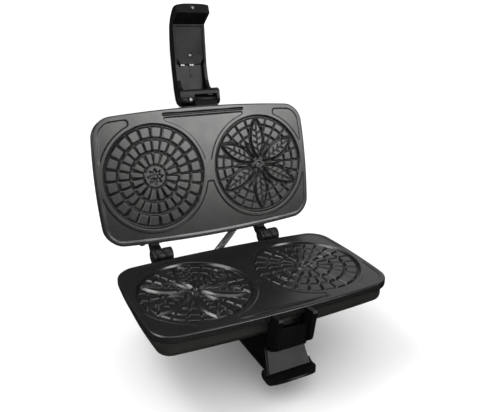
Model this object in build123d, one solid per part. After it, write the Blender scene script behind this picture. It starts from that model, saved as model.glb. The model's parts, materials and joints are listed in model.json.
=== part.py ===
"""Double wafer (pizzelle) iron, modelled open: base, lid and front latch arm."""
from build123d import *
from math import atan2, cos, hypot, pi, radians, sin, sqrt, tan
import os

os.makedirs("parts", exist_ok=True)

# ---------------------------------------------------------------- driving dimensions (mm)
TABLE = 92.0                      # plate joint face above the table
HALF_L, HALF_W = 138.77, 78.75    # plate half length and half width at mid side
BOW_L, BOW_W = 6.49, 4.73         # how far the long and short sides bow out
R_CORNER = 20.87
GAP = 0.2                         # each plate stays this far off the joint face
RIM = 8.0                         # height of the plate's rim skirt
WELL_X, WELL_Y, WELL_R, RING_R = 68.87, -1.1, 61.5, 66.0
WELL_D, BRICK_D, PAD_D = 3.4, 1.15, 0.5
HINGE_Y, HINGE_Z, OPEN = 91.523, -1.543, 104.568
PIVOT_Y, PIVOT_Z = -88.0, 22.0    # latch arm pivot, lid closed
PIN_R = 2.5                       # lid hinge pin
PIN_A = 2.0                       # latch arm pin
KNUCKLE_R = 8.4                   # lid hinge barrel on the base
RUN = 0.05                        # running clearance of a pin across a joint
CASE_IN, CASE_Z, SHEET = 5.5, -27.0, 0.8
COVER_H = 28.0
LEAD_R = 4.7                      # flexible lead between the housings
LEAD_EXIT, LEAD_TURN, LEAD_OUT = (41.0, 70.5, 17.0), 45.0, 8.5
LEAD_X, CORD_X, ENTRY_Z = -1.0, -30.0, -17.5      # lead and mains cord entries in the rear wall
BASE_SCREWS_X, BASE_SCREWS_Z = [-94, -55, 50, 89], -13.5
LID_SCREWS_X, LID_SCREWS_Z = [-90, -67.5, 54, 76.5], 16.5
BRACKET_SCREWS_X, BRACKET_SCREWS_Z = [-16, 16], 21.0
HANDLE_SCREWS_X, HANDLE_SCREWS_Z = [-11, 11], -18.0
STAND_SCREWS = [(-26, -30), (26, -30), (-26, 38), (26, 38)]
CLAMP_AT = [(-105, 0), (105, 0), (-50, -42), (50, -42)]
CLAMP_SCREWS = [(-118, 0), (-92, 0), (118, 0), (92, 0), (-50, -55), (-50, -29), (50, -55), (50, -29)]
PLATE_SCREWS = [(-110, -52), (110, -52), (-110, 52), (110, 52)]
HINGE_X = {"left": -72.0, "right": 72.0}
FOOT_X, FOOT_Y, FRONT_FOOT_Y = 84.0, 78.0, -62.0
LAMPS = {"power_lamp_lens": (-14, 30), "ready_lamp_lens": (14, 30)}
ARM_W = 20.5                      # half width of the latch arm

R_L = (HALF_L**2 + BOW_L**2) / (2 * BOW_L)
R_W = (HALF_W**2 + BOW_W**2) / (2 * BOW_W)


def outline(d=0.0, z=0.0):
    """Bowed rectangle of the plates, moved inwards by d."""
    a, b, r1, r2, rc = HALF_L - d, HALF_W - d, R_L - d, R_W - d, max(R_CORNER - d, 3.0)
    ax, ay, bx, by, ra, rb = 0.0, b - r1, a - r2, 0.0, r1 - rc, r2 - rc
    dx, dy = bx - ax, by - ay
    dd = hypot(dx, dy)
    t = (ra**2 - rb**2 + dd**2) / (2 * dd)
    h = sqrt(ra**2 - t**2)
    pts = [(ax + (t * dx - s * h * dy) / dd, ay + (t * dy + s * h * dx) / dd) for s in (1, -1)]
    cx, cy = max(pts)
    ua, ub = Vector(cx - ax, cy - ay).normalized(), Vector(cx - bx, cy - by).normalized()
    um = (ua + ub).normalized()
    p = (ax + ua.X * r1, ay + ua.Y * r1)
    q = (bx + ub.X * r2, by + ub.Y * r2)
    m = (cx + um.X * rc, cy + um.Y * rc)

    def f(pt, sx, sy):
        return (pt[0] * sx, pt[1] * sy, z)

    edges = [
        ThreePointArc(f(p, -1, 1), (0, b, z), f(p, 1, 1)),
        ThreePointArc(f(p, 1, 1), f(m, 1, 1), f(q, 1, 1)),
        ThreePointArc(f(q, 1, 1), (a, 0, z), f(q, 1, -1)),
        ThreePointArc(f(q, 1, -1), f(m, 1, -1), f(p, 1, -1)),
        ThreePointArc(f(p, 1, -1), (0, -b, z), f(p, -1, -1)),
        ThreePointArc(f(p, -1, -1), f(m, -1, -1), f(q, -1, -1)),
        ThreePointArc(f(q, -1, -1), (-a, 0, z), f(q, -1, 1)),
        ThreePointArc(f(q, -1, 1), f(m, -1, 1), f(p, -1, 1)),
    ]
    face = make_face(edges).faces()[0]
    return face if face.normal_at().Z > 0 else -face


def box(x0, x1, y0, y1, z0, z1):
    return Pos((x0 + x1) / 2, (y0 + y1) / 2, (z0 + z1) / 2) * Box(x1 - x0, y1 - y0, z1 - z0)


def rod_x(x0, x1, y, z, r):
    return Pos((x0 + x1) / 2, y, z) * Rot(0, 90, 0) * Cylinder(r, x1 - x0)


def rod_y(y0, y1, x, z, r):
    return Pos(x, (y0 + y1) / 2, z) * Rot(90, 0, 0) * Cylinder(r, y1 - y0)


def rod_z(z0, z1, x, y, r):
    return Pos(x, y, (z0 + z1) / 2) * Cylinder(r, z1 - z0)


def screw(head_r, head_h, shank_r, length):
    """Round-headed screw with a cross recess, driven along +Z from its head's face at z = 0."""
    head = rod_z(0, head_h, 0, 0, head_r)
    head = fillet(head.edges().group_by(Axis.Z)[0], 0.6 * head_h)
    reach, half, depth = 0.55 * head_r, 0.13 * head_r, 0.6 * head_h
    cross = [box(-reach, reach, -half, half, -1, depth), box(-half, half, -reach, reach, -1, depth)]
    return head + rod_z(head_h - 0.05, length, 0, 0, shank_r) - cross


def side(pts, x0, x1):
    """Prism along X from a (y, z) outline."""
    face = make_face(Polyline(*[(0, y, z) for y, z in pts], close=True))
    return Pos(x0, 0, 0) * extrude(face, amount=x1 - x0, dir=(1, 0, 0))


def up(face, z0, z1):
    return extrude(Pos(0, 0, z0) * face, amount=z1 - z0, dir=(0, 0, 1))


# ---------------------------------------------------------------- wafer patterns (flat faces)
def brick(r0, r1, w0, w1, ang):
    """Raised brick with curved ends between radii r0 and r1, widths w0 and w1."""
    x0, x1 = sqrt(r0**2 - w0**2 / 4), sqrt(r1**2 - w1**2 / 4)
    e = [
        Line((x0, -w0 / 2), (x1, -w1 / 2)),
        ThreePointArc((x1, -w1 / 2), (r1, 0), (x1, w1 / 2)),
        Line((x1, w1 / 2), (x0, w0 / 2)),
        ThreePointArc((x0, w0 / 2), (r0, 0), (x0, -w0 / 2)),
    ]
    return Rot(0, 0, ang) * make_face(e)


def lens(r0, r1, half, ang):
    """Pointed leaf from r0 to r1."""
    m = (r0 + r1) / 2
    e = [ThreePointArc((r0, 0), (m, half), (r1, 0)), ThreePointArc((r1, 0), (m, -half), (r0, 0))]
    return Rot(0, 0, ang) * make_face(e)


def faces_of(shape):
    return [f for f in shape.faces() if f.area > 1.2]


def web_faces():
    """Three rings of bricks round a disc with an eight-pointed star."""
    out = []
    rings = ((14.9, 27.6, 4.2, 6.9, 16), (31.0, 42.4, 6.2, 8.4, 24), (46.2, 57.6, 9.7, 11.8, 24))
    for r0, r1, w0, w1, n in rings:
        out += [brick(r0, r1, w0, w1, (i + 0.5) * 360 / n) for i in range(n)]
    points = []
    for i in range(16):
        r = 10.6 if i % 2 == 0 else 6.0
        points.append((r * cos(i * pi / 8), r * sin(i * pi / 8)))
    disc = Circle(12.6) - make_face(Polyline(*points, close=True))
    return out + faces_of(disc) + [Circle(4.6).faces()[0]]


def flower_faces():
    """Six veined petals and six small leaves over three rings of bricks."""
    out, petal_angles = [], [90 + 60 * i for i in range(6)]
    keep_off = [lens(3.5, 59.5, 10.3, a) for a in petal_angles]
    keep_off += [lens(5.0, 34.5, 3.2, a + 30) for a in petal_angles]
    rings = ((28.6, 36.2, 6.0, 8.0, 24), (38.8, 48.0, 8.0, 10.2, 24), (50.4, 57.6, 10.8, 12.6, 24))
    for r0, r1, w0, w1, n in rings:
        for i in range(n):
            out += faces_of((Sketch() + brick(r0, r1, w0, w1, (i + 0.5) * 360 / n)) - keep_off)
    for a in petal_angles:
        s = Sketch() + lens(7.6, 57.2, 8.7, a)
        s = s - Rot(0, 0, a) * (Pos(30, 0) * Rectangle(42, 1.3))
        for r in (15.5, 24.5, 34.0, 43.0):
            for sg in (1, -1):
                vein = Pos(r, 0) * Rot(0, 0, 50 * sg) * (Pos(6.2, 0) * Rectangle(9.5, 1.5))
                s = s - Rot(0, 0, a) * vein
        out += faces_of(s)
        out.append(lens(9.5, 32.0, 1.9, a + 30))
    ring = Circle(5.6) - Circle(2.7)
    return out + faces_of(ring)


def plate(web_side):
    """Grid plate, pattern upwards, joint face at z = -GAP; the web well is on web_side (+1 or -1)."""
    top = -GAP
    body = up(outline(), -RIM, top)
    body = fillet(body.edges().group_by(Axis.Z)[-1], 1.2)
    wells = [Pos(s * WELL_X, WELL_Y) for s in (1, -1)]
    ring = Sketch() + [w * Circle(RING_R) for w in wells]
    corner = (Sketch() + outline(6.2)) & (Pos(-122.1, -60) * Rectangle(55.8, 110))
    middle = Pos(0, -40.9) * Rectangle(103, 55.0)
    back = (Sketch() + outline(5.5)) & (Pos(0, 61.8) * Rectangle(300, 100))
    pads = [corner - ring, mirror(corner, about=Plane.YZ) - ring, middle - ring, back - ring]
    cuts = []
    for pad in pads:
        cuts += [up(f, top - PAD_D, top + 1) for f in pad.faces() if f.area > 20]
    cuts += [up((w * Circle(WELL_R)).faces()[0], top - WELL_D, top + 1) for w in wells]
    cuts.append(box(-52, 52, -73.1, -70.7, top - 2.0, top + 1))
    cuts.append(up(outline(4.5), -RIM - 1, -RIM + 0.8))
    body = body - cuts
    raised = []
    for faces, s in ((web_faces(), web_side), (flower_faces(), -web_side)):
        raised += [up(Pos(s * WELL_X, WELL_Y) * f, top - WELL_D - 0.4, top - BRICK_D) for f in faces]
    body = body + raised
    bosses = [rod_z(-13.6, -RIM + 1.2, x, y, 5) for x, y in CLAMP_SCREWS]
    bosses += [rod_z(-16.0, -RIM + 1.2, x, y, 5) for x, y in PLATE_SCREWS]
    body = body + bosses
    holes = [rod_z(-14, -8.2, x, y, 1.6) for x, y in CLAMP_SCREWS]
    holes += [rod_z(-17, -8.4, x, y, 2.1) for x, y in PLATE_SCREWS]
    return body - holes



def heater():
    """Sheathed rod bent round under both wells, with its two terminals at the rear."""
    pts = [(-16, 58), (-16, 38), (-105, 38), (-105, -42), (105, -42), (105, 38), (16, 38), (16, 58)]
    path = FilletPolyline(*[(x, y, -10.5) for x, y in pts], radius=15)
    tube = sweep(Plane(origin=path @ 0, z_dir=path % 0) * Circle(3.2), path=path)
    return tube + [rod_y(58, 66, -16, -10.5, 1.5), rod_y(58, 66, 16, -10.5, 1.5)]


def clamps():
    """Bars that hold the heater against the plate, each with two screws."""
    out, low, high, reach = [], -15.2, -13.75, 13.0
    for x, y in CLAMP_AT:
        along_x = abs(y) < 1
        a, b = (18, 5) if along_x else (5, 18)
        dx, dy = (reach, 0) if along_x else (0, reach)
        pair = [(x - dx, y - dy), (x + dx, y + dy)]
        bar = box(x - a, x + a, y - b, y + b, low, high)
        out.append(bar - [rod_z(-16, -13, px, py, 1.6) for px, py in pair])
        out += [Pos(px, py, low - 2.0) * screw(2.8, 1.95, 1.5, 8.2) for px, py in pair]
    return out


def wires(*routes):
    """Insulated leads along straight runs with small bends."""
    out = []
    for pts in routes:
        path = FilletPolyline(*pts, radius=1.4)
        out.append(sweep(Plane(origin=path @ 0, z_dir=path % 0) * Circle(0.9), path=path))
    return out


def reflector():
    """Sheet under the heater that keeps its heat off the casing."""
    s = up(outline(15), -17.6, -16.8)
    holes = [rod_z(-19, -15, x, y, 2.3) for x, y in PLATE_SCREWS]
    holes += [rod_z(-19, -15, x, y, 5.5) for x, y in CLAMP_SCREWS]
    return s - holes - box(-24, 24, 40, 80, -19, -15)


# ---------------------------------------------------------------- base body
def base_parts():
    p = {}
    p["lower_plate"] = plate(+1)
    rear = HALF_W - CASE_IN
    case = up(outline(CASE_IN), CASE_Z, -RIM - 0.02)
    case = fillet(case.edges().group_by(Axis.Z)[0], 7.0)
    inner = up(outline(CASE_IN + SHEET), CASE_Z + SHEET, -RIM + 2)
    inner = fillet(inner.edges().group_by(Axis.Z)[0], 6.2)
    case = case - inner - up((Rectangle(216, 104)).faces()[0], CASE_Z - 1, CASE_Z + 2)
    holes = [rod_y(rear - 4, rear + 3, x, BASE_SCREWS_Z, 1.7) for x in BASE_SCREWS_X]
    holes += [rod_y(rear - 4, rear + 3, x, ENTRY_Z, r) for x, r in ((LEAD_X, 4.0), (CORD_X, 5.2))]
    holes += [rod_y(-rear - 3, -rear + 4, x, HANDLE_SCREWS_Z, 2.1) for x in HANDLE_SCREWS_X]
    holes += [rod_z(CASE_Z - 1, CASE_Z + 2, x, y, 4.9) for x, y in PLATE_SCREWS]
    p["lower_casing"] = case - holes
    pan = up(RectangleRounded(226, 114, 12).faces()[0], CASE_Z - 2, CASE_Z)
    slot_x = [x for x in range(-96, 97, 8) if abs(x) > 20]
    slots = [box(x - 1.5, x + 1.5, y - 9, y + 9, -31, -25) for x in slot_x for y in (-34, 34)]
    pan = pan - slots - [rod_z(-31, -24, x, y, 2.2) for x, y in PLATE_SCREWS]
    posts = [rod_z(CASE_Z, -18.0, x, y, 4.6) - rod_z(-31, -17, x, y, 2.2) for x, y in PLATE_SCREWS]
    pan = pan - [rod_z(-31, -24, x, y, 1.7) for x, y in STAND_SCREWS]
    p["base_underpan"] = pan + posts
    p["lower_plate_screws"] = [Pos(x, y, -31.05) * screw(4.0, 2.0, 2.0, 21.5) for x, y in PLATE_SCREWS]
    p["lower_heater"] = heater()
    p["lower_heater_clamps"] = clamps()
    p["lower_reflector"] = reflector()
    # stand: narrow keel to the front, wide foot bar at the rear
    keel_pts = [(-58.5, -29.1), (-58.5, -48), (-69.5, -76), (-71.5, -89.6), (60, -89.6), (90, -88),
                (90, -76), (64, -66), (52, -29.1)]
    keel = side(keel_pts, -9, 9)
    keel = keel - side([(-8, -74), (40, -74), (36, -44), (10, -44)], -10, 10)
    bar = box(-98, 98, 64, 90, -88, -77)
    bar = fillet(bar.edges().filter_by(Axis.Z), 10)
    wing = box(-34, 34, -40, 48, -33.1, -29.1)
    stand = keel + bar + wing
    holes = [rod_z(-34, -28, x, y, 1.7) for x, y in STAND_SCREWS]
    holes += [rod_z(-90, -84.9, x, FOOT_Y, 3.06) for x in (-FOOT_X, FOOT_X)]
    p["stand"] = stand - holes - rod_z(-91, -84.9, 0, FRONT_FOOT_Y, 3.06)
    p["stand_screws"] = [Pos(x, y, -35.0) * screw(3.2, 1.85, 1.6, 9.4) for x, y in STAND_SCREWS]
    pad = box(-8.6, 8.6, -70.5, -54, -TABLE, -89.65)
    p["front_foot"] = fillet(pad.edges().filter_by(Axis.Z), 3) + rod_z(-89.7, -85, 0, FRONT_FOOT_Y, 3.0)
    p["rear_feet"] = [rod_z(-TABLE, -88.05, x, FOOT_Y, 9.0) + rod_z(-88.1, -85, x, FOOT_Y, 3.0)
                      for x in (-FOOT_X, FOOT_X)]
    # handle: two ears, web between them, sloping blade and grip lip
    ear = [(-79.3, -1.0), (-92.3, 1.1), (-93.4, -1.2), (-89.3, -31), (-87.6, -35), (-84, -38), (-73.4, -38.5),
           (-73.4, -8.4), (-79.3, -8.4)]
    handle = side(ear, 16.9, 21.9) + side(ear, -21.9, -16.9)
    web = [(-86.6, -15.5), (-73.4, -15.5), (-73.4, -38), (-66, -40), (-72, -49), (-84.6, -40)]
    handle = handle + side(web, -17, 17)
    handle = handle - box(-13.5, 13.5, -83.6, -79, -24, -10)
    blade = make_face(Polyline((-21.6, 0), (21.6, 0), (25.2, -36), (-25.2, -36), close=True))
    slope = Plane(origin=(0, -66.2, -38.0), x_dir=(1, 0, 0), z_dir=(0, -0.874, 0.486))
    blade = extrude(slope * blade, amount=-6.0)
    lip_pts = [(-76, -64), (-82.5, -67.2), (-96.0, -65.0), (-98.6, -65.3), (-99.4, -66.6), (-98.6, -68.2),
               (-91.5, -73.0), (-89.5, -73.7), (-84, -74.2), (-77, -73.4), (-74.2, -70)]
    lip_plan = make_face([
        Line((-28, -60), (28, -60)),
        Line((28, -60), (28, -86.5)),
        ThreePointArc((28, -86.5), (24.4, -94.0), (17.0, -97.6)),
        ThreePointArc((17.0, -97.6), (0, -99.4), (-17.0, -97.6)),
        ThreePointArc((-17.0, -97.6), (-24.4, -94.0), (-28, -86.5)),
        Line((-28, -86.5), (-28, -60)),
    ])
    lip = side(lip_pts, -28, 28) & up(lip_plan.faces()[0], -80, -60)
    handle = handle + blade + lip
    p["base_handle"] = handle - [rod_y(-82, -72, x, HANDLE_SCREWS_Z, 1.6) for x in HANDLE_SCREWS_X]
    face = make_face(Polyline((-21.2, -9.5), (17.6, -9.5), (19.8, -33.2), (-23.6, -33.2), close=True))
    panel = extrude(slope * face, amount=1.8)
    p["handle_panel"] = panel - p["base_handle"]
    inside = -rear + SHEET + 2.4
    driven = Rot(90, 0, 0) * screw(3.4, 2.15, 1.5, inside + 80.5)
    p["handle_screws"] = [Pos(x, inside, HANDLE_SCREWS_Z) * driven for x in HANDLE_SCREWS_X]
    # hinges
    for name, s in HINGE_X.items():
        foot = rear + 0.02
        arm = [(foot, -9.0), (79.6, -9.0), (84.5, -4.0), (88, -9.0), (84, -15), (80, -18), (foot, -18)]
        ear_r = side(arm, s + 1.2, s + 11) + rod_x(s + 1.2, s + 11, HINGE_Y, HINGE_Z, KNUCKLE_R)
        ear_l = side(arm, s - 13.8, s - 9.8) + rod_x(s - 13.8, s - 9.8, HINGE_Y, HINGE_Z, KNUCKLE_R)
        flange = box(s - 26, s + 21, foot, rear + 3.2, -18.4, -8.4)
        b = ear_r + ear_l + flange
        b = b - rod_x(s - 20, s + 14, HINGE_Y, HINGE_Z, PIN_R)
        b = b - [rod_y(rear - 1, rear + 4, x, BASE_SCREWS_Z, 1.7) for x in BASE_SCREWS_X]
        p["hinge_base_" + name] = b
        pin = rod_x(s - 14.4, s + 11.6, HINGE_Y, HINGE_Z, PIN_R)
        p["hinge_pin_" + name] = pin + rod_x(s + 11.05, s + 12.4, HINGE_Y, HINGE_Z, 3.6)
    driven = Rot(90, 0, 0) * screw(3.0, 1.95, 1.6, 9.2)
    p["hinge_base_screws"] = [Pos(x, rear + 5.2, BASE_SCREWS_Z) * driven for x in BASE_SCREWS_X]
    # electrics under the lower plate
    stat = rod_z(-14.5, -7.35, 0, 0, 8.5) + box(-12, 12, -4, 4, -8.6, -7.35)
    p["thermostat"] = stat + [box(-4, -3.2, -3, 3, -16.5, -14.4), box(3.2, 4, -3, 3, -16.5, -14.4)]
    p["thermal_fuse"] = rod_x(-36, -22, 16, -9.4, 2.0) + rod_x(-41, -17, 16, -9.4, 0.6)
    block = box(34, 66, 48, 62, -26.1, -18.4)
    p["terminal_block"] = block - [rod_z(-20.5, -18, x, 55, 2.2) for x in (39, 46, 54, 61)]
    gland = rod_y(rear + 0.05, rear + 7, CORD_X, ENTRY_Z, 7.0)
    gland = gland + rod_y(rear - 3, rear + 0.1, CORD_X, ENTRY_Z, 5.1)
    p["cord_gland"] = gland - rod_y(rear - 4, rear + 9, CORD_X, ENTRY_Z, 3.6)
    collar = rod_y(rear + 0.05, rear + LEAD_OUT, LEAD_X, ENTRY_Z, 6.0)
    collar = collar + rod_y(rear - 3, rear + 0.1, LEAD_X, ENTRY_Z, 3.9)
    p["conduit_ferrule_base"] = collar - rod_y(rear - 4, rear + 9, LEAD_X, ENTRY_Z, 2.6)
    p["lower_wires"] = wires([(-16, 66.1, -10.5), (-16, 70.2, -10.5), (-16, 70.2, -18.5), (-16, 57, -20.5),
                              (33.9, 57, -20.5)],
                             [(16, 66.1, -10.5), (16, 70.2, -10.5), (16, 70.2, -23.5), (16, 52, -23.5),
                              (33.9, 52, -23.5)])
    return p


# ---------------------------------------------------------------- lid body (modelled closed)
def cover_solid(grow, height, rad):
    """Block with sloping walls that follows the plate's outline; grow moves the walls inwards."""
    s = extrude(outline(3.6 + grow), amount=height, taper=24)
    if s.bounding_box().min.Z < -1:
        s = mirror(s, about=Plane.XY)
    return Pos(0, 0, RIM + 0.02) * fillet(s.edges().group_by(Axis.Z)[-1], rad)


def lid_parts():
    p = {}
    flip = Plane.XY
    p["upper_plate"] = mirror(plate(-1), about=flip)
    outer = cover_solid(0, COVER_H - RIM, 7)
    inner = cover_solid(1.1, COVER_H - RIM - 1.0, 6)
    ferr = Pos(*LEAD_EXIT) * Rot(0, 0, LEAD_TURN) * rod_y(-12, 12, 0, 0, 4.0)
    holes = [rod_z(20, 32, x, y, 5.1) for x, y in LAMPS.values()] + [ferr]
    holes += [rod_y(60, 86, x, LID_SCREWS_Z, 1.7) for x in LID_SCREWS_X]
    holes += [rod_y(-80, -58, x, BRACKET_SCREWS_Z, 1.7) for x in BRACKET_SCREWS_X]
    holes += [rod_z(24, 30, x, y, 2.2) for x, y in PLATE_SCREWS]
    p["lid_cover"] = outer - inner - holes
    driven = Rot(180, 0, 0) * screw(4.0, 1.95, 2.0, 20.5)
    p["upper_plate_screws"] = [Pos(x, y, 30.0) * driven for x, y in PLATE_SCREWS]
    p["upper_heater"] = mirror(heater(), about=flip)
    p["upper_heater_clamps"] = [mirror(c, about=flip) for c in clamps()]
    p["upper_reflector"] = mirror(reflector(), about=flip)
    # lamps on the crown of the cover
    for name, (x, y) in LAMPS.items():
        lens_b = rod_z(22, 29.0, x, y, 5.0) + rod_z(28.05, 29.4, x, y, 6.6)
        p[name] = fillet(lens_b.edges().group_by(Axis.Z)[-1], 1.0) - rod_z(21, 27, x, y, 3.8)
    holder = box(-24, 24, 22, 38, 19.0, 21.9)
    p["lamp_holder"] = holder - [rod_z(18, 23, x, y, 3.3) for x, y in LAMPS.values()]
    p["neon_lamps"] = [rod_z(18.4, 26.0, x, y, 3.2) for x, y in LAMPS.values()]
    # hinge lugs
    for name, s in HINGE_X.items():
        pts = [(92, -3), (97.0, -1.5), (96.4, 3), (93, 12), (88, 19.5), (82, 22.5), (68, 22.5), (68, 9.5),
               (80.6, 9.5), (83.0, 5.0), (86.5, 0.5)]
        lug = side(pts, s - 9.4, s + 0.8) + rod_x(s - 9.4, s + 0.8, HINGE_Y, HINGE_Z, KNUCKLE_R - 0.4)
        plate_f = side([(66, 11), (78, 11), (78, 22), (66, 22)], s - 22, s + 8)
        lug = (lug + plate_f) - outer - rod_x(s - 20, s + 14, HINGE_Y, HINGE_Z, PIN_R + RUN)
        p["hinge_lid_" + name] = lug - [rod_y(60, 90, x, LID_SCREWS_Z, 1.7) for x in LID_SCREWS_X]
    driven = Rot(90, 0, 0) * screw(3.0, 1.95, 1.6, 16)
    p["hinge_lid_screws"] = [Pos(x, 80, LID_SCREWS_Z) * driven for x in LID_SCREWS_X]
    turned = Pos(*LEAD_EXIT) * Rot(0, 0, LEAD_TURN)
    ferrule = (turned * rod_y(-4, LEAD_OUT, 0, 0, 6.0)) - outer
    ferrule = ferrule + turned * rod_y(-5, 4, 0, 0, 3.9)
    p["conduit_ferrule_lid"] = ferrule - turned * rod_y(-20, 20, 0, 0, 2.6)
    # latch bracket on the front wall: block, stem and barrel
    blk = side([(-80.0, 12.5), (-66, 11.5), (-60, 29), (-70, 30.0), (-80.0, 28.6)], -21.9, 25.9)
    stem = side([(-88, 17.6), (-76, 14), (-76, 28.5), (-88, 26.6)], -3.5, 25.9)
    barrel = rod_x(-3.5, 25.9, PIVOT_Y, PIVOT_Z, 5.3)
    brk = (blk + stem + barrel) - outer - rod_x(-4, 26, PIVOT_Y, PIVOT_Z, PIN_A + RUN)
    p["latch_bracket"] = brk - [rod_y(-75.5, -58, x, BRACKET_SCREWS_Z, 1.6) for x in BRACKET_SCREWS_X]
    driven = Rot(90, 0, 0) * screw(3.0, 2.0, 1.5, 11)
    p["bracket_screws"] = [Pos(x, -64.4, BRACKET_SCREWS_Z) * driven for x in BRACKET_SCREWS_X]
    p["upper_thermal_fuse"] = rod_x(-36, -22, 16, 9.4, 2.0) + rod_x(-41, -17, 16, 9.4, 0.6)
    p["upper_wires"] = wires([(-16, 66.1, 10.5), (-16, 69.4, 10.5), (-16, 66.4, 19.5), (37, 64.6, 19.5)],
                             [(16, 66.1, 10.5), (16, 69.4, 10.5), (16, 66.0, 15.0), (37, 64.6, 15.0)])
    return p


# ---------------------------------------------------------------- latch arm (on the closed lid, at rest)
def arm_parts():
    p = {}
    back = [(-104, 41), (-130, 41), (-150, 39.6), (-165, 37), (-178, 33), (-187, 26.5), (-193.5, 18),
            (-197, 10), (-198.2, 4.6), (-197.4, 2.6)]
    front = [(-187.1, 0.6), (-186.2, 1.4), (-177.6, 19.6), (-131, 25.4), (-112, 24.4), (-103.5, 21.2),
             (-99.3, 16.2), (-97.5, 15.0)]
    shell = side([(-94, 30), (-94, 39.8)] + back + front + [(-94, 15)], -ARM_W, ARM_W)
    hood = side([(-95, 29.8), (-84, 29.8), (-84, 35), (-90, 39), (-95, 39.9)], -ARM_W, ARM_W)
    bar = side([(-94, 15), (-97.5, 15), (-101, 18.5), (-101, 27), (-98, 30), (-94, 30)], -21.9, 30)
    knuckle = rod_x(-21.9, -3.9, PIVOT_Y, PIVOT_Z, 7.6)
    cheek = rod_x(26.3, 30, PIVOT_Y, PIVOT_Z, 7.0)
    fills = [side([(-95, 15), (-88, 15), (-88, 29.0), (-95, 30)], -21.9, -3.9),
             side([(-95, 15), (-88, 15.0), (-88, 29.0), (-95, 29)], 26.3, 30)]
    s = shell + bar + knuckle + cheek + fills + hood
    # channel: open recess near the root, closed space behind the inner plate
    recess = [(-99.0, 10), (-101.5, 38.3), (-130, 38.3), (-150, 36.9), (-165, 34.3), (-171, 32.4), (-171, 10)]
    s = s - side(recess, -16.6, 16.6)
    s = s - side([(-176.0, 10), (-176.0, 22.6), (-171, 23.3), (-131.5, 28.9), (-131.5, 10)], -17.6, 17.6)
    s = s + rod_z(28.9, 37.2, 0, -142, 4.0)
    s = s - rod_z(27, 36, 0, -142, 1.25)
    s = s - rod_x(-31, 31, PIVOT_Y, PIVOT_Z, PIN_A)
    s = s - rod_z(10, 16.6, -9, -88, 3.2) - rod_z(15, 19.0, -9, -88, 1.5)
    s = s - rod_z(-2, 2.4, 0, -192.6, 2.7) - rod_z(0, 10, 0, -192.6, 1.25)
    wide = ARM_W + 0.1
    crown = make_face([
        Line((-wide, -60), (wide, -60)),
        Line((wide, -60), (wide, -196.0)),
        ThreePointArc((wide, -196.0), (0, -198.3), (-wide, -196.0)),
        Line((-wide, -196.0), (-wide, -60)),
    ])
    s = s & (up(crown.faces()[0], -10, 60) + box(-31, 31, -102, -60, -10, 60))
    p["latch_shell"] = s
    lower = side([(-131.3, 30.0), (-131.3, 31.5), (-101.0, 31.5), (-100.9, 30.0)], -16.6, 16.6)
    p["latch_lower_cover"] = lower + box(-0.6, 0.6, -127, -117, 29.5, 30.1)
    tilt = atan2(28.6 - 22.4, 176.0 - 131.9)
    base = Plane(origin=(0, -131.9, 28.7), x_dir=(1, 0, 0), z_dir=(0, sin(tilt), -cos(tilt)))
    pts = [(-13.6, 0), (13.6, 0), (17.4, 8.5), (17.4, 43.6), (-17.4, 43.6), (-17.4, 8.5)]
    face = make_face(Polyline(*pts, close=True))
    inner = extrude(base * face, amount=2.0)
    tabs = box(-13.0, -8.0, -131.9, -129.6, 27.1, 28.4) + box(-1.5, 4.0, -131.9, -129.6, 27.1, 28.4)
    inner = inner - (rod_z(10, 40, 0, -142, 1.6) + rod_z(10, 26.5, 0, -142, 3.0))
    p["latch_inner_plate"] = (inner - box(-30, 30, -180, -100, 28.9, 40)) - s
    p["latch_tabs"] = (tabs - p["latch_inner_plate"]) - s
    p["latch_screws"] = [
        Pos(0, -142, 25.2) * screw(2.0, 1.2, 1.2, 9.3),
        Pos(0, -192.6, 1.0) * screw(2.0, 1.35, 1.2, 7.5),
        Pos(-9, -88, 15.2) * screw(2.4, 1.3, 1.4, 3.6),
    ]
    p["latch_pin"] = rod_x(-22.3, 30.4, PIVOT_Y, PIVOT_Z, PIN_A)
    return p


def solids(shape):
    """Flat list of the solids in a shape or a list of shapes."""
    items = shape if isinstance(shape, list) else [shape]
    return [s for it in items for s in it.solids()]


def open_lid(s):
    """Turns a closed lid's piece to the open stop."""
    return Pos(0, HINGE_Y, HINGE_Z) * Rot(-OPEN, 0, 0) * Pos(0, -HINGE_Y, -HINGE_Z) * s


base, lid, arm = base_parts(), lid_parts(), arm_parts()
world = {n: solids(s) for n, s in base.items()}
for group in (lid, arm):
    world.update({n: [open_lid(x) for x in solids(s)] for n, s in group.items()})

# flexible armoured lead between the two housings: straight runs joined by tangent arcs
turn, tilt_open = radians(LEAD_TURN), radians(OPEN)
lid_end = Vector(*LEAD_EXIT) + Vector(-sin(turn), cos(turn), 0) * LEAD_OUT
tip = open_lid(Pos(*lid_end)).position
out_dir = Vector(-sin(turn), cos(turn) * cos(tilt_open), -cos(turn) * sin(tilt_open))
start = tip + out_dir * 0.05
rear_y = HALF_W - CASE_IN
base_end = Vector(LEAD_X, rear_y + LEAD_OUT + 0.05, ENTRY_Z)
route = [start, start + out_dir * 15, Vector(8.5, 105.5, -14.2), Vector(LEAD_X, 97.5, ENTRY_Z), base_end]
radii = []
for before, at, after in zip(route, route[1:], route[2:]):
    half_turn = radians((at - before).get_angle(after - at)) / 2
    radii.append(0.45 * min((at - before).length, (after - at).length) / tan(half_turn))
lead = FilletPolyline(*route, radius=radii)
start_plane = Plane(origin=lead @ 0, z_dir=lead % 0)
bore = LEAD_R - 1.1
tube = sweep(start_plane * Circle(LEAD_R), path=lead) - sweep(start_plane * Circle(bore), path=lead)
full = pi * (LEAD_R**2 - bore**2) * lead.length
print("lead radii", [round(r, 1) for r in radii], "length", lead.length, "volume ratio", tube.volume / full)
world["conduit_spring"] = solids(tube)

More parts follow.
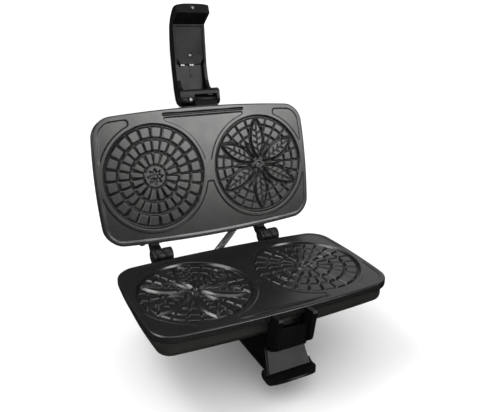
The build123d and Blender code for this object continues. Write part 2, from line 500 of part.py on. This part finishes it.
boxes = [s.bounding_box() for v in world.values() for s in v]
y_lo, y_hi = min(b.min.Y for b in boxes), max(b.max.Y for b in boxes)
ORIGIN_Y = (y_lo + y_hi) / 2
print("origin y", ORIGIN_Y, "z", min(b.min.Z for b in boxes), max(b.max.Z for b in boxes),
      "x", min(b.min.X for b in boxes), max(b.max.X for b in boxes))
for name, items in world.items():
    moved = [Pos(0, -ORIGIN_Y, TABLE) * s for s in items]
    shape = moved[0] if len(moved) == 1 else Compound(children=moved)
    export_step(shape, "parts/%s.step" % name)
    bb = shape.bounding_box()
    volume = sum(s.volume for s in items)
    print("%-22s solids %2d vol %9.0f  z %.1f..%.1f" % (name, len(items), volume, bb.min.Z, bb.max.Z))
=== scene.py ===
import bmesh
import bpy
import json
import math
import numpy as np
from mathutils import Matrix, Vector


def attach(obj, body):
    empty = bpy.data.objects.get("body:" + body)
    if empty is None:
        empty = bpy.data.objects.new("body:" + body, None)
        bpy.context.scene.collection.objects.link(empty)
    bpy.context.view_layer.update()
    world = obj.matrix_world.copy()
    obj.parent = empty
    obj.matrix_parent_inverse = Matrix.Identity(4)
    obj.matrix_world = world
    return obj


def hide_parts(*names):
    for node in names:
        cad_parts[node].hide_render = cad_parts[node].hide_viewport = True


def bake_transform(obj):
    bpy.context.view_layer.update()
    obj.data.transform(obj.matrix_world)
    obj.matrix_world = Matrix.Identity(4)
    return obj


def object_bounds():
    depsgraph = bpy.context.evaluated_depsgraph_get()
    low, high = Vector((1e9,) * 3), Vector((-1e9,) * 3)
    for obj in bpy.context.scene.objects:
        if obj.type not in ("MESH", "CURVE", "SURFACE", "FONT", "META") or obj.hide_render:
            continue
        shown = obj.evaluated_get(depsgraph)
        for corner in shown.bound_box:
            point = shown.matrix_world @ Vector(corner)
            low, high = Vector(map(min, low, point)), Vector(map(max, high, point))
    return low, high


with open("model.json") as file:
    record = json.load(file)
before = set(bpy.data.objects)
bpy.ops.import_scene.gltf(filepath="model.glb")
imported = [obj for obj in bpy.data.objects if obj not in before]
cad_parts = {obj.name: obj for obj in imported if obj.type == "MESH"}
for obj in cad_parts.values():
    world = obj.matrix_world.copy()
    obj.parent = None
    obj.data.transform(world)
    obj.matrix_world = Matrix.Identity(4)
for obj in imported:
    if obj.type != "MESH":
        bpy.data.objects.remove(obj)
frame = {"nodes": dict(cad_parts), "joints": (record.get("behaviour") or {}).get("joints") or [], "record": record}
CAD_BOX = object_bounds()
MM = 0.001

# ------------------------------------------------------------------ places, worked out from the frame
JOINT = {j["name"]: j for j in frame["joints"]}
HINGE = Vector(JOINT["lid_hinge"]["pos_m"])
PIVOT = Vector(JOINT["latch_pivot"]["pos_m"])
OPEN = math.radians(104.568)                 # how far the lid stands open at rest
HINGE_Y, HINGE_Z = 91.523 * MM, -1.543 * MM  # hinge axis from the plates' joint centre
JOINT_CENTRE = Vector((0.0, HINGE.y - HINGE_Y, HINGE.z - HINGE_Z))


def lower(p):
    """Frame point of a point on the base, given from the plates' joint centre in metres."""
    return JOINT_CENTRE + Vector(p)


def on_lid(p):
    """Frame point, with the lid open, of a point given in the same way on the shut lid."""
    q = Vector(p) - Vector((0, HINGE_Y, HINGE_Z))
    c, s = math.cos(OPEN), math.sin(OPEN)
    return HINGE + Vector((q.x, q.y * c + q.z * s, -q.y * s + q.z * c))


def link(name, mesh):
    """A new object for the mesh, in the scene."""
    obj = bpy.data.objects.new(name, mesh)
    bpy.context.scene.collection.objects.link(obj)
    return obj


def direction(az, el):
    """Unit direction from an azimuth, from the front towards +X, and an elevation, in degrees."""
    az, el = math.radians(az), math.radians(el)
    return (math.sin(az) * math.cos(el), -math.cos(az) * math.cos(el), math.sin(el))


# ------------------------------------------------------------------ camera
VIEW_AZ, VIEW_EL, VIEW_ROLL = -27.238, 20.877, 1.167
VIEW_TARGET = (-75.563 * MM, -112.44 * MM, 132.249 * MM)
VIEW_DISTANCE, LENS = 0.423242, 40.653


def make_camera():
    """The camera looks from the front left and a little down on the opened iron."""
    back = Vector(direction(VIEW_AZ, VIEW_EL))
    level = Vector((math.cos(math.radians(VIEW_AZ)), math.sin(math.radians(VIEW_AZ)), 0))
    upright = back.cross(level)
    c, s = math.cos(math.radians(VIEW_ROLL)), math.sin(math.radians(VIEW_ROLL))
    right, up = c * level + s * upright, c * upright - s * level
    data = bpy.data.cameras.new("camera")
    data.lens, data.sensor_width, data.sensor_fit = LENS, 36.0, "HORIZONTAL"
    data.clip_start, data.clip_end = 0.01, 50
    cam = bpy.data.objects.new("camera", data)
    place = lower(VIEW_TARGET) + back * VIEW_DISTANCE
    cam.matrix_world = Matrix((
        (right.x, up.x, back.x, place.x), (right.y, up.y, back.y, place.y),
        (right.z, up.z, back.z, place.z), (0, 0, 0, 1)))
    bpy.context.scene.collection.objects.link(cam)
    bpy.context.scene.camera = cam


make_camera()


# ------------------------------------------------------------------ materials
def new_material(name, color, rough, metal=0.0, **sockets):
    """A Principled material; a keyword such as Coat_Weight sets the socket of that name."""
    mat = bpy.data.materials.new(name)
    mat.use_nodes = True
    p = mat.node_tree.nodes["Principled BSDF"]
    p.inputs["Base Color"].default_value = (*color, 1)
    p.inputs["Roughness"].default_value = rough
    p.inputs["Metallic"].default_value = metal
    for key, value in sockets.items():
        p.inputs[key.replace("_", " ")].default_value = value
    return mat, mat.node_tree, p


def noise(tree, scale, detail=3.0, stretch=(1, 1, 1), rough=0.55):
    """Noise in the object's own space, from 0 to 1."""
    coord = tree.nodes.new("ShaderNodeTexCoord")
    mapping = tree.nodes.new("ShaderNodeMapping")
    mapping.inputs["Scale"].default_value = stretch
    tex = tree.nodes.new("ShaderNodeTexNoise")
    tex.inputs["Scale"].default_value = scale
    tex.inputs["Detail"].default_value = detail
    tex.inputs["Roughness"].default_value = rough
    tree.links.new(coord.outputs["Object"], mapping.inputs["Vector"])
    tree.links.new(mapping.outputs["Vector"], tex.inputs["Vector"])
    return tex.outputs["Fac"]


def spread(tree, fac, low, high, start=0.3, end=0.7):
    """The noise's middle range, mapped to low..high."""
    node = tree.nodes.new("ShaderNodeMapRange")
    node.inputs["From Min"].default_value, node.inputs["From Max"].default_value = start, end
    node.inputs["To Min"].default_value, node.inputs["To Max"].default_value = low, high
    tree.links.new(fac, node.inputs["Value"])
    return node.outputs["Result"]


def tint(tree, fac, dark, light, p):
    """The noise drives the base colour, from dark to light."""
    ramp = tree.nodes.new("ShaderNodeValToRGB")
    ramp.color_ramp.elements[0].position, ramp.color_ramp.elements[1].position = 0.35, 0.68
    ramp.color_ramp.elements[0].color, ramp.color_ramp.elements[1].color = (*dark, 1), (*light, 1)
    tree.links.new(fac, ramp.inputs["Fac"])
    tree.links.new(ramp.outputs["Color"], p.inputs["Base Color"])


def bump(tree, fac, p, strength, depth):
    """The noise roughens the surface."""
    node = tree.nodes.new("ShaderNodeBump")
    node.inputs["Strength"].default_value, node.inputs["Distance"].default_value = strength, depth
    tree.links.new(fac, node.inputs["Height"])
    tree.links.new(node.outputs["Normal"], p.inputs["Normal"])


def grey(v):
    return (v, v, v)


def make_grid_coating():
    mat, tree, p = new_material("nonstick_coating", grey(0.09), 0.25, 0.9)
    tree.links.new(spread(tree, noise(tree, 35, 3), 0.23, 0.27), p.inputs["Roughness"])
    tint(tree, noise(tree, 50, 4), grey(0.085), (0.095, 0.095, 0.092), p)
    bump(tree, noise(tree, 2500, 2), p, 0.05, 0.00002)
    return mat


def make_brushed(name, dark, light, rough, stretch):
    mat, tree, p = new_material(name, light, rough, 0.95)
    lines = noise(tree, 1.0, 4, stretch, 0.7)
    tree.links.new(spread(tree, lines, rough - 0.06, rough + 0.08), p.inputs["Roughness"])
    tint(tree, lines, dark, light, p)
    bump(tree, lines, p, 0.25, 0.00004)
    return mat


def make_plastic(name, dark, light, low, high, grain=1500, shine=0.5):
    mat, tree, p = new_material(name, light, low)
    p.inputs["Specular IOR Level"].default_value = shine
    tree.links.new(spread(tree, noise(tree, 45, 4), low, high), p.inputs["Roughness"])
    tint(tree, noise(tree, 30, 3), dark, light, p)
    bump(tree, noise(tree, grain, 2), p, 0.18, 0.00005)
    return mat


def make_metal(name, dark, light, low, high):
    mat, tree, p = new_material(name, light, low, 1.0)
    tree.links.new(spread(tree, noise(tree, 250, 4), low, high), p.inputs["Roughness"])
    tint(tree, noise(tree, 120, 3), dark, light, p)
    return mat


def make_lens(name, color, glow):
    mat, tree, p = new_material(name, color, 0.12, Coat_Weight=0.6, Emission_Strength=glow)
    p.inputs["Emission Color"].default_value = (*color, 1)
    tint(tree, noise(tree, 300, 2), tuple(c * 0.8 for c in color), color, p)
    return mat


# material for each slot of the record
MATERIALS = {
    "grid_plate": make_grid_coating(),
    "steel_casing": make_brushed(
        "brushed_steel", (0.17, 0.167, 0.148), (0.25, 0.246, 0.218), 0.34, (25, 25, 2600)),
    "black_plastic": make_plastic("black_plastic", grey(0.0025), grey(0.0045), 0.32, 0.4, shine=0.35),
    "grey_plastic": make_plastic("grey_plastic", grey(0.02), grey(0.028), 0.42, 0.52, shine=0.35),
    "hinge_casting": make_plastic("hinge_casting", grey(0.008), grey(0.014), 0.36, 0.48, 700),
    "steel_hardware": make_metal("plated_steel", grey(0.2), grey(0.27), 0.28, 0.38),
    "heater_sheath": make_metal("heater_sheath", (0.12, 0.11, 0.1), (0.2, 0.19, 0.17), 0.4, 0.6),
    "reflector_sheet": make_metal("reflector_sheet", grey(0.6), grey(0.7), 0.25, 0.4),
    "rubber": make_plastic("rubber", grey(0.015), grey(0.022), 0.7, 0.85, 900),
    "spring_steel": make_metal("spring_steel", grey(0.72), grey(0.88), 0.16, 0.28),
    "ceramic": make_plastic("ceramic", (0.7, 0.67, 0.6), (0.78, 0.75, 0.68), 0.4, 0.5),
    "fuse_metal": make_metal("fuse_metal", grey(0.6), grey(0.7), 0.25, 0.35),
    "wire_sleeve": make_plastic("wire_sleeve", (0.55, 0.52, 0.45), (0.62, 0.6, 0.53), 0.5, 0.6),
    "amber_lens": make_lens("amber_lens", (0.9, 0.32, 0.02), 0.1),
    "green_lens": make_lens("green_lens", (0.04, 0.5, 0.12), 0.1),
    "neon_glass": make_lens("neon_glass", (0.85, 0.75, 0.65), 0.0),
}
# bevel width for each slot with softened edges, in metres
SOFT_EDGES = {"black_plastic": 0.0005, "grey_plastic": 0.0003, "hinge_casting": 0.0006}
WELD_REACH, BEVEL_OVER = 0.00001, 35         # metres, and degrees between faces


def dress_nodes():
    """Every CAD node gets its slot's material, and plastics and castings get softened edges."""
    slots = {s["node"]: s["material_slot"] for s in frame["record"]["subparts"]}
    for name, obj in frame["nodes"].items():
        material = MATERIALS[slots[name]]
        if not obj.material_slots:
            obj.data.materials.append(material)
        for s in obj.material_slots:
            s.material = material
        if slots[name] in SOFT_EDGES:
            weld = obj.modifiers.new("weld", "WELD")
            weld.merge_threshold = WELD_REACH
            bevel = obj.modifiers.new("bevel", "BEVEL")
            bevel.width, bevel.segments, bevel.limit_method = SOFT_EDGES[slots[name]], 2, "ANGLE"
            bevel.angle_limit = math.radians(BEVEL_OVER)
            bevel.harden_normals = True


dress_nodes()


# ------------------------------------------------------------------ grid plates, in mm
HALF_L, HALF_W, BOW_L, BOW_W, R_CORNER = 138.77, 78.75, 6.49, 4.73, 20.87
R_L = (HALF_L**2 + BOW_L**2) / (2 * BOW_L)
R_W = (HALF_W**2 + BOW_W**2) / (2 * BOW_W)
GAP, RIM, WELL_X, WELL_Y, WELL_R, RING_R = 0.2, 8.0, 68.87, -1.1, 61.5, 66.0
WELL_D, BRICK_D, PAD_D = 3.4, 1.15, 0.45
INSERT_R = 65.3                              # each well is a fine round mesh out to here
PATTERN_R = 59.4                             # the pattern ends here
EDGE_R = 1.6                                 # round edge of the plate's face
SLOT_HALF_L, SLOT_HALF_W, SLOT_Y, SLOT_D = 52, 1.25, -71.9, 2.1
# rings of bricks: inner radius, outer radius, brick width at each, bricks in the ring
WEB_RINGS = (
    (14.9, 27.6, 4.2, 6.9, 16),
    (31.0, 42.4, 6.2, 8.4, 24),
    (46.2, 57.6, 9.7, 11.8, 24),
)
FLOWER_RINGS = (
    (28.6, 36.2, 6.0, 8.0, 24),
    (38.8, 48.0, 8.0, 10.2, 24),
    (50.4, 57.6, 10.8, 12.6, 24),
)
DISC_R, STAR_R, STAR_NOTCH, HUB_R = 12.6, 10.8, 5.2, 3.0
# lens shapes about the flower's centre: from, to, half width
PETAL, PETAL_ROOM = (6.8, 57.6, 9.0), (3.0, 60.2, 11.2)
SPIKE, SPIKE_ROOM = (8.5, 33.0, 2.4), (5.0, 35.5, 3.9)
EYE_R, EYE_HOLE_R = 5.6, 2.8
# the rim under the face: distance inwards from the outline, and height
RIM_PROFILE = (
    (0.0, -2.2), (0.0, -4.5), (0.0, -RIM + 0.9), (0.25, -RIM + 0.3),
    (0.9, -RIM), (4.3, -RIM), (4.5, -RIM + 0.2), (4.5, -RIM + 0.8),
)


def soft_min(a, b, k):
    """The smaller of two values, rounded over where they are within k."""
    h = np.clip(0.5 + 0.5 * (b - a) / k, 0, 1)
    return b * (1 - h) + a * h - k * h * (1 - h)


def step(d, lo, hi):
    """Smooth rise from 0 at lo to 1 at hi."""
    t = np.clip((d - lo) / (hi - lo), 0, 1)
    return t * t * (3 - 2 * t)


def slope(d, lo, hi):
    """Like step, with straighter flanks."""
    t = np.clip((d - lo) / (hi - lo), 0, 1)
    return 0.65 * t + 0.35 * t * t * (3 - 2 * t)


def inset(x, y):
    """Distance inwards from the bowed outline."""
    d1 = R_L - np.hypot(x, np.abs(y) - (HALF_W - R_L))
    d2 = R_W - np.hypot(np.abs(x) - (HALF_L - R_W), y)
    corner = R_CORNER - np.hypot(np.maximum(R_CORNER - d1, 0), np.maximum(R_CORNER - d2, 0))
    return np.where((d1 < R_CORNER) & (d2 < R_CORNER), corner, np.minimum(d1, d2))


def lens_inside(u, v, r0, r1, half):
    """Distance inwards from a lens between two arcs, from r0 to r1 along u."""
    mid, chord = (r0 + r1) / 2, (r1 - r0) / 2
    radius = (chord**2 + half**2) / (2 * half)
    return radius - np.hypot(u - mid, np.abs(v) + radius - half)


def brick_inside(r, ang, r0, r1, w0, w1, n):
    """Distance inwards from the nearest brick of a ring."""
    pitch = 2 * math.pi / n
    off = (ang % pitch) - pitch / 2
    half = (w0 + (w1 - w0) * (r - r0) / (r1 - r0)) / 2
    side = half - np.abs(r * np.sin(off))
    return soft_min(soft_min(r - r0, r1 - r, 0.8), side, 0.8)


def web_relief(x, y):
    """Web well's pattern, 0 at the floor to 1: rings of bricks round a disc with a sunk star."""
    r, ang = np.hypot(x, y), np.arctan2(y, x)
    up = np.zeros_like(r)
    for ring in WEB_RINGS:
        up = np.maximum(up, slope(brick_inside(r, ang, *ring), -1.6, 0.4))
    disc = slope(DISC_R - r, -1.5, 0.3)
    spoke = math.pi / 4
    fold = np.abs((ang + spoke / 2) % spoke - spoke / 2) / (spoke / 2)
    star = slope(0.6 * (STAR_R - STAR_NOTCH * fold - r), -0.1, 1.5)
    centre = slope(HUB_R - r, -0.6, 1.0)
    return np.maximum(up, disc * (1 - 0.8 * star * (1 - 0.8 * centre)))


def leaf(u, v, r0, r1, half):
    """A petal: two swelling halves, a grooved rib, notched veins and sloping flanks."""
    inside = lens_inside(u, v, r0, r1, half)
    body = 0.62 * slope(inside, -1.3, 0.5) + 0.5 * step(inside, 0.4, 2.6)
    rib = (1 - step(np.abs(v), 0.1, 1.1)) * step(u, r0 + 3, r0 + 7) * step(r1 - 5 - u, 0, 3)
    notch = np.zeros_like(u)
    for side, first in ((1, 15.0), (-1, 18.5)):
        for i in range(4):
            along = u - first - 7.6 * i - 0.55 * np.abs(v)
            reach = step(side * v, 0.2, 0.9) * (1 - step(side * v, half * 0.42, half * 0.62))
            notch = np.maximum(notch, (1 - step(np.abs(along), 0.25, 1.15)) * reach)
    return body * (1 - 0.55 * rib) - 0.5 * notch * step(inside, 0.8, 2.2)


def flower_relief(x, y):
    """Flower well's pattern, 0 at the floor to about 1: petals, spikes and an eye over rings of bricks."""
    r, ang = np.hypot(x, y), np.arctan2(y, x)
    sixth = math.pi / 3
    a = (ang - math.pi / 2 + sixth / 2) % sixth - sixth / 2
    u, v = r * np.cos(a), r * np.sin(a)
    b = (ang - math.pi / 2) % sixth - sixth / 2
    su, sv = r * np.cos(b), r * np.sin(b)
    keep, spike_keep = lens_inside(u, v, *PETAL_ROOM), lens_inside(su, sv, *SPIKE_ROOM)
    up = np.zeros_like(r)
    for ring in FLOWER_RINGS:
        inside = brick_inside(r, ang, *ring)
        inside = soft_min(inside, soft_min(-keep, -spike_keep, 0.6), 0.6)
        up = np.maximum(up, slope(inside, -1.3, 0.25))
    up = np.maximum(up, leaf(u, v, *PETAL))
    spike = lens_inside(su, sv, *SPIKE)
    up = np.maximum(up, 0.55 * step(spike, -0.8, 0.3) + 0.45 * step(spike, 0.3, 2.0))
    eye = step(EYE_R - r, -0.8, 0.4) * (1 - 0.9 * step(EYE_HOLE_R - r, -0.6, 0.6))
    return np.maximum(up, 1.05 * eye)


def relief(x, y):
    """Height of the plate's face outside the wells, from its joint face: round edge, pads and slot."""
    d = inset(x, y)
    z = -(EDGE_R - np.sqrt(np.maximum(EDGE_R**2 - np.clip(EDGE_R - d, 0, EDGE_R) ** 2, 0)))
    ring = np.hypot(np.abs(x) - WELL_X, y - WELL_Y) - RING_R
    k = 2.2
    corner = soft_min(soft_min(d - 6.2, np.abs(x) - 94.2, 5.0), ring, k)
    corner = np.minimum(corner, -y)
    funnel = soft_min(soft_min(soft_min(ring, y + 68.4, k), 51.5 - np.abs(x), k), -13.4 - y, 2.5)
    back = soft_min(soft_min(ring, y - 11.8, 2.5), d - 5.0, k)
    pad = np.maximum(np.maximum(corner, funnel), back)
    z = z - PAD_D * slope(pad, -0.15, 0.4)
    slot = np.minimum(SLOT_HALF_L - np.abs(x), SLOT_HALF_W - np.abs(y - SLOT_Y))
    return z - SLOT_D * step(slot, -0.2, 0.7)


def well_relief(x, y, web):
    """Height of one patterned well, about its own centre, from the joint face."""
    r = np.hypot(x, y)
    well = slope(WELL_R - r, -0.3, 1.5)
    rise = web_relief(x, y) if web else flower_relief(x, y)
    rise = rise * step(PATTERN_R - r, 0, 0.6)
    return -well * (WELL_D - (WELL_D - BRICK_D) * rise)


def axis_lines(half, pitch):
    """Grid lines from -half to half, closer together along the edges."""
    edge = np.array([0, 0.12, 0.3, 0.55, 0.9, 1.3, 1.7]) / half
    n = int(2 * (half - 2.2) / pitch)
    mid = np.linspace(-1 + 2.2 / half, 1 - 2.2 / half, n)
    return np.concatenate([-1 + edge, mid, (1 - edge)[::-1]])


def place_mesh(name, pts, faces, place, flip):
    """A mesh from points about the plates' joint centre, in mm, placed in the frame."""
    pts = pts * MM
    if flip:
        pts[:, 2] *= -1
        faces = [f[::-1] for f in faces]
    mesh = bpy.data.meshes.new(name)
    mesh.from_pydata([tuple(place(p)) for p in pts], [], faces)
    mesh.validate()
    mesh.shade_smooth()
    return link(name, mesh)


def plate_mesh(name, place, flip, pitch=0.75):
    """The plate without its wells: a grid stretched to the bowed outline, and a rim under it."""
    us, vs = axis_lines(HALF_L, pitch), axis_lines(HALF_W, pitch)
    u, v = np.meshgrid(us, vs, indexing="ij")
    x0, y0 = u * HALF_L, v * HALF_W
    m = np.maximum(np.abs(u), np.abs(v))
    scale = np.maximum(m, 1e-6)
    ex, ey = x0 / scale, y0 / scale
    reach = np.maximum(np.hypot(ex, ey), 1)
    k = np.ones_like(m)
    for _ in range(30):
        k = k + inset(ex * k, ey * k) / reach
    f = 1 + (k - 1) * m**6
    x, y = x0 * f, y0 * f
    z = relief(x, y) - GAP
    nu, nv = u.shape
    top = np.stack([x, y, z], -1).reshape(-1, 3)
    idx = np.arange(nu * nv).reshape(nu, nv)
    quads = np.stack([idx[:-1, :-1], idx[1:, :-1], idx[1:, 1:], idx[:-1, 1:]], -1).reshape(-1, 4)
    from_well = np.hypot(np.abs(top[:, 0]) - WELL_X, top[:, 1] - WELL_Y)
    quads = quads[from_well[quads].max(axis=1) > INSERT_R - 1.5]
    loop = np.concatenate([idx[:-1, 0], idx[-1, :-1], idx[:0:-1, -1], idx[0, :0:-1]])
    rim = top[loop]
    rings, total, verts = [loop], len(top), [top]
    for inward, depth in RIM_PROFILE:
        c = rim.copy()
        length = np.hypot(c[:, 0], c[:, 1])
        c[:, 0] -= c[:, 0] / length * inward
        c[:, 1] -= c[:, 1] / length * inward
        c[:, 2] = depth
        verts.append(c)
        rings.append(np.arange(total, total + len(c)))
        total += len(c)
    faces = quads.tolist()
    for a, b in zip(rings, rings[1:]):
        faces += np.stack([a, b, np.roll(b, -1), np.roll(a, -1)], -1).tolist()
    faces.append(rings[-1][::-1].tolist())
    obj = place_mesh(name, np.concatenate(verts), faces, place, flip)
    bm = bmesh.new()
    bm.from_mesh(obj.data)
    bmesh.ops.delete(bm, geom=[v for v in bm.verts if not v.link_faces], context="VERTS")
    bm.to_mesh(obj.data)
    bm.free()
    return obj


def well_mesh(name, side, web, place, flip, around=624, rows=146):
    """One patterned well, as a round mesh."""
    r = np.linspace(0, 1, rows + 1)[1:] * INSERT_R
    t = np.arange(around) * 2 * math.pi / around
    if web:
        # columns crowd towards the grooves of the rings with 24 bricks
        pitch = 2 * math.pi / 24
        u = (t / pitch + 0.5) % 1 - 0.5
        t = t + pitch * (u * (0.5 + 2 * u * u) - u)
    rr, tt = np.meshgrid(r, t, indexing="ij")
    x, y = rr * np.cos(tt), rr * np.sin(tt)
    z = well_relief(x, y, web) - GAP + 0.01
    ring = np.stack([x + side * WELL_X, y + WELL_Y, z], -1).reshape(-1, 3)
    middle = well_relief(np.zeros(1), np.zeros(1), web)[0] - GAP + 0.01
    centre = np.array([[side * WELL_X, WELL_Y, middle]])
    idx = np.arange(rows * around).reshape(rows, around)
    nxt = np.roll(idx, -1, axis=1)
    quads = np.stack([idx[:-1], idx[1:], nxt[1:], nxt[:-1]], -1).reshape(-1, 4).tolist()
    hub = len(ring)
    quads += [[hub, int(a), int(b)] for a, b in zip(idx[0], nxt[0])]
    return place_mesh(name, np.concatenate([ring, centre]), quads, place, flip)


# name, side of the web well, placing function, face down when shut, body
PLATES = (
    ("lower", 1, lower, False, "base"),
    ("upper", -1, on_lid, True, "lid"),
)


def make_plates():
    """Both plates, each in place of its CAD node."""
    for name, web_side, place, flip, body in PLATES:
        pieces = [plate_mesh(name + "_grid_plate", place, flip)]
        for side, word in ((-1, "left"), (1, "right")):
            pieces.append(well_mesh(f"{name}_{word}_well", side, side == web_side, place, flip))
        for obj in pieces:
            obj.data.materials.append(MATERIALS["grid_plate"])
            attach(obj, body)
            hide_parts(name + "_plate")


make_plates()


# ------------------------------------------------------------------ armoured lead between the housings
LEAD_R, WIRE_R, COIL_PITCH = 4.7 * MM, 0.8 * MM, 2.8 * MM
LINER_GAP = 0.7 * MM
TURN_POINTS, LINER_STEP = 18, 6              # points in a turn of the coil, and of those in a liner's ring
# in mm from the plates' joint centre: exit on the shut lid, entry at the base, and the collars' length
LEAD_EXIT, LEAD_X, ENTRY_Z, LEAD_OUT = (41.0, 70.5, 17.0), -1, -17.5, 8.5
REAR_INSET = 5.5                             # rear wall of the base, in from the plate's edge
REAR = HALF_W - REAR_INSET + LEAD_OUT        # mouth of the base's collar


def lead_points():
    """Even points along the lead: out of the lid, round, and into the back of the base."""
    reach = LEAD_OUT * math.sqrt(0.5)
    mouth = on_lid(((LEAD_EXIT[0] - reach) * MM, (LEAD_EXIT[1] + reach) * MM, LEAD_EXIT[2] * MM))
    root = on_lid(tuple(c * MM for c in LEAD_EXIT))
    out = (mouth - root).normalized()
    # the CAD's route, with each end 1 mm inside its collar
    bends = ((8.5, 105.5, -14.2), (LEAD_X, 97.5, ENTRY_Z), (LEAD_X, REAR - 1, ENTRY_Z))
    route = [mouth - out * 0.001, mouth + out * 0.015]
    route += [lower(Vector(p) * MM) for p in bends]
    data = bpy.data.curves.new("lead_line", "CURVE")
    data.dimensions, data.resolution_u = "3D", 64
    spline = data.splines.new("NURBS")
    spline.points.add(len(route) - 1)
    for point, p in zip(spline.points, route):
        point.co = (*p, 1)
    spline.order_u, spline.use_endpoint_u = 3, True
    line = bpy.data.objects.new("lead_line", data)
    mesh = bpy.data.meshes.new_from_object(line)
    pts = [v.co.copy() for v in mesh.vertices]
    bpy.data.objects.remove(line)
    bpy.data.meshes.remove(mesh)
    along = [0.0]
    for p, q in zip(pts, pts[1:]):
        along.append(along[-1] + (q - p).length)
    even, steps = [], int(along[-1] / COIL_PITCH * TURN_POINTS)
    j = 0
    for i in range(steps + 1):
        s = along[-1] * i / steps
        while j < len(pts) - 2 and along[j + 1] < s:
            j += 1
        t = (s - along[j]) / max(along[j + 1] - along[j], 1e-9)
        even.append(pts[j].lerp(pts[j + 1], t))
    return even, along[-1]


def frames_along(pts):
    """Position and two cross directions at each point, without twist."""
    out, side = [], None
    for i, p in enumerate(pts):
        ahead = (pts[min(i + 1, len(pts) - 1)] - pts[max(i - 1, 0)]).normalized()
        if side is None:
            side = ahead.orthogonal().normalized()
        side = (side - ahead * side.dot(ahead)).normalized()
        out.append((p, side, ahead.cross(side)))
    return out


def tube(name, pts, radius, sides):
    """A closed tube along the points."""
    verts, faces = [], []
    for p, a, b in frames_along(pts):
        verts += [p + (a * math.cos(t) + b * math.sin(t)) * radius
                  for t in (2 * math.pi * k / sides for k in range(sides))]
    for i in range(len(pts) - 1):
        for k in range(sides):
            n = (k + 1) % sides
            faces.append((i * sides + k, i * sides + n, (i + 1) * sides + n, (i + 1) * sides + k))
    faces += [tuple(range(sides))[::-1], tuple(len(verts) - sides + k for k in range(sides))]
    mesh = bpy.data.meshes.new(name)
    mesh.from_pydata([tuple(v) for v in verts], [], faces)
    mesh.shade_smooth()
    return link(name, mesh)


def make_lead():
    """A wound spring over a dark liner, bending between the base and the lid."""
    pts, length = lead_points()
    turns = length / COIL_PITCH
    mean = LEAD_R - WIRE_R
    coil = []
    for i, (p, a, b) in enumerate(frames_along(pts)):
        t = 2 * math.pi * turns * i / (len(pts) - 1)
        coil.append(p + (a * math.cos(t) + b * math.sin(t)) * mean)
    spring = tube("lead_spring", coil, WIRE_R, 8)
    liner = tube("lead_liner", pts[::LINER_STEP], mean - LINER_GAP, 24)
    for obj, slot in ((spring, "spring_steel"), (liner, "rubber")):
        obj.data.materials.append(MATERIALS[slot])
        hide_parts("conduit_spring")
        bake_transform(obj)


make_lead()


# ------------------------------------------------------------------ floor, lights, colours
WHITE = 1.22                                 # strength of the white that the camera sees
# azimuth from the front towards +X, elevation, reach in degrees, brightness
PANELS = (
    (0, 90, 178, 0.08),     # a dim room, lighter overhead
    (0, 82, 28, 1.8),       # overhead panel, for the edges that face up
    (26, 22, 17, 7.0),      # front panel, mirrored by the upper plate
    (-78, 22, 26, 4.5),     # left panel, for the flanks of the pattern
    (132, 24, 28, 0.7),     # back right, mirrored by the lower plate
    (0, -40, 45, 0.06),     # pale table in front, mirrored by the casing
)


def make_floor():
    """A matt white floor that shiny surfaces don't mirror."""
    bpy.ops.mesh.primitive_plane_add(size=8, location=(0, 0, CAD_BOX[0][2]))
    floor = bpy.context.object
    floor.name = "floor"
    floor.visible_glossy = False
    mat, tree, p = new_material("floor_paint", grey(0.9), 0.6)
    p.inputs["Specular IOR Level"].default_value = 0.1
    floor.data.materials.append(mat)


def make_world():
    """White all round, and a dim room with soft panels for shiny surfaces to mirror."""
    world = bpy.data.worlds.new("studio")
    bpy.context.scene.world = world
    world.use_nodes = True
    world.cycles.sampling_method = "NONE"
    tree = world.node_tree
    white = tree.nodes["Background"]
    white.inputs["Color"].default_value = (1, 1, 1, 1)
    white.inputs["Strength"].default_value = WHITE
    coord = tree.nodes.new("ShaderNodeTexCoord")
    total = None
    for az, el, reach, power in PANELS:
        dot = tree.nodes.new("ShaderNodeVectorMath")
        dot.operation = "DOT_PRODUCT"
        dot.inputs[1].default_value = direction(az, el)
        tree.links.new(coord.outputs["Generated"], dot.inputs[0])
        fade = tree.nodes.new("ShaderNodeMapRange")
        fade.interpolation_type = "SMOOTHSTEP"
        fade.inputs["From Min"].default_value = math.cos(math.radians(reach))
        fade.inputs["From Max"].default_value = 1
        fade.inputs["To Min"].default_value, fade.inputs["To Max"].default_value = 0, power
        tree.links.new(dot.outputs["Value"], fade.inputs["Value"])
        if total is None:
            total = fade.outputs["Result"]
        else:
            add = tree.nodes.new("ShaderNodeMath")
            tree.links.new(total, add.inputs[0])
            tree.links.new(fade.outputs["Result"], add.inputs[1])
            total = add.outputs[0]
    room = tree.nodes.new("ShaderNodeBackground")
    tree.links.new(total, room.inputs["Strength"])
    path = tree.nodes.new("ShaderNodeLightPath")
    mix = tree.nodes.new("ShaderNodeMixShader")
    tree.links.new(path.outputs["Is Glossy Ray"], mix.inputs["Fac"])
    tree.links.new(white.outputs["Background"], mix.inputs[1])
    tree.links.new(room.outputs["Background"], mix.inputs[2])
    tree.links.new(mix.outputs["Shader"], tree.nodes["World Output"].inputs["Surface"])


def make_light(name, spot, aim, size, power):
    """A rectangular area light at spot, turned towards aim."""
    data = bpy.data.lights.new(name, "AREA")
    data.shape, data.size, data.size_y, data.energy = "RECTANGLE", size[0], size[1], power
    lamp = bpy.data.objects.new(name, data)
    lamp.location = spot
    lamp.rotation_euler = (Vector(aim) - Vector(spot)).to_track_quat("-Z", "Y").to_euler()
    bpy.context.scene.collection.objects.link(lamp)


make_floor()
make_world()
make_light("top_softbox", (-0.7, 0.5, 1.5), (0, 0, 0.05), (0.9, 0.6), 9)
bpy.context.scene.view_settings.view_transform = "Standard"
